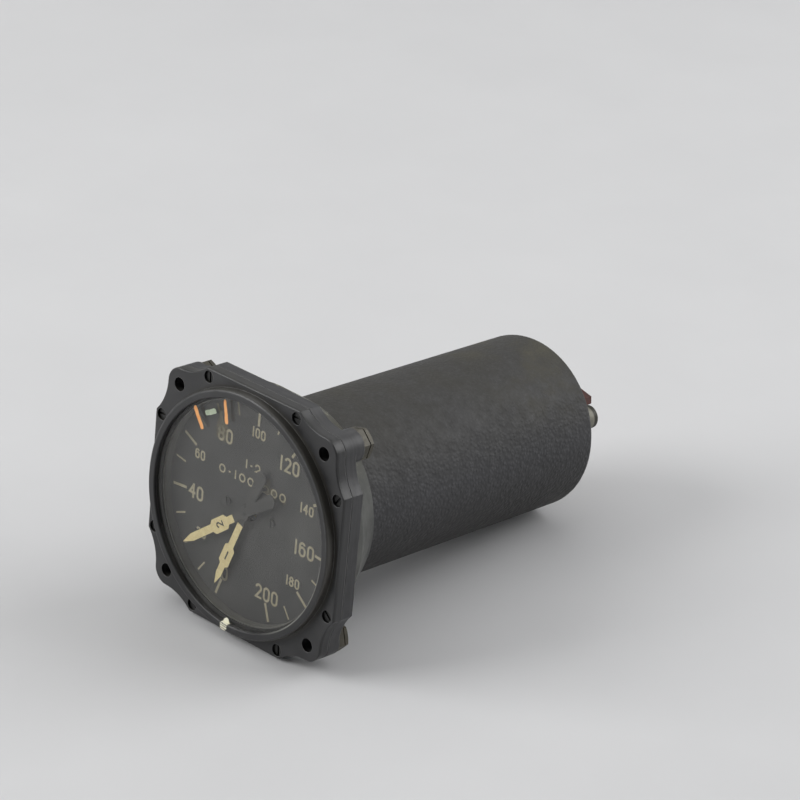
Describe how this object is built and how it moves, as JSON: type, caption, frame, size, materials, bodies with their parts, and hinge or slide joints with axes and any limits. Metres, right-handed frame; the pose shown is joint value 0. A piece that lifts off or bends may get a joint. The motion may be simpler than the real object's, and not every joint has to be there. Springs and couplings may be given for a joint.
{
  "type": "aircraft oil pressure indicator",
  "caption": "Round-dial aircraft oil pressure indicator with concentric left and right engine pointers, a scalloped flange for a panel and a long cylindrical case.",
  "frame": {"origin": "centre of the four-hole panel pattern, in the plane of the flange's front face", "axes": "the dial faces -Y, +Y runs back along the case, +Z is the top of the dial and +X is to the right as the dial is read"},
  "size_m": [0.082, 0.1413, 0.082],
  "materials": {
    "bezel_paint": "satin black enamel, worn at the edges",
    "casting_paint": "satin black enamel on a casting, dusty and worn",
    "can_paint": "black crinkle enamel",
    "dial_paint": "matt dark grey dial paint",
    "pointer_paint": "cream luminous paint",
    "rubber": "matt",
    "glass": "clear polished",
    "dark_steel": "blackened steel",
    "steel": "bright steel",
    "aluminium": "machined",
    "brass": "turned brass",
    "nut_brass": "dull plated brass",
    "copper": "enamelled copper wire",
    "phenolic": "red-brown phenolic moulding"
  },
  "bodies": {
    "instrument_case": {"bezel": "bezel_paint", "bezel_gasket": "rubber", "cover_glass": "glass", "glass_gasket": "rubber", "spacer_ring": "bezel_paint", "dial_plate": "dial_paint", "dial_screw_left": "dark_steel", "dial_screw_right": "dark_steel", "flange_casting": "casting_paint", "case_can": "can_paint", "terminal_strip_upper": "phenolic", "terminal_strip_lower": "phenolic", "front_plate": "aluminium", "rear_plate": "aluminium", "bezel_screw_1": "dark_steel", "bezel_screw_2": "dark_steel", "bezel_screw_3": "dark_steel", "bezel_screw_4": "dark_steel", "bezel_screw_5": "dark_steel", "bezel_screw_6": "dark_steel", "bezel_screw_7": "dark_steel", "bezel_screw_8": "dark_steel", "mounting_nut_1": "nut_brass", "terminal_screw_1": "brass", "mounting_nut_2": "nut_brass", "terminal_screw_2": "brass", "mounting_nut_3": "nut_brass", "terminal_screw_3": "brass", "mounting_nut_4": "nut_brass", "terminal_screw_4": "brass", "tie_rod_1": "steel", "case_nut_1": "nut_brass", "tie_rod_2": "steel", "case_nut_2": "nut_brass", "tie_rod_3": "steel", "case_nut_3": "nut_brass", "front_motor_shell": "aluminium", "front_motor_bell": "aluminium", "front_stator_core": "dark_steel", "front_stator_winding": "copper", "front_motor_bushing_a": "brass", "front_motor_bushing_b": "brass", "front_brush_block": "phenolic", "rear_motor_shell": "aluminium", "rear_motor_bell": "aluminium", "rear_stator_core": "dark_steel", "rear_stator_winding": "copper", "rear_motor_bushing_a": "brass", "rear_motor_bushing_b": "brass", "rear_brush_block": "phenolic"},
    "left_pointer_train": {"left_pointer": "pointer_paint", "left_shaft": "steel", "left_rotor_core": "dark_steel", "left_slip_rings": "brass"},
    "right_pointer_train": {"right_pointer": "pointer_paint", "right_shaft": "steel", "right_rotor_core": "dark_steel", "right_slip_rings": "brass"}
  },
  "joints": [
    {"name": "left_pointer_turn", "type": "hinge", "parent": "instrument_case", "child": "left_pointer_train", "pos_m": [0, 0, 0], "axis": [0, 1, 0], "range_deg": [-0.4, 319.6]},
    {"name": "right_pointer_turn", "type": "hinge", "parent": "instrument_case", "child": "right_pointer_train", "pos_m": [0, 0, 0], "axis": [0, 1, 0], "range_deg": [-31.8, 288.2]}
  ]
}
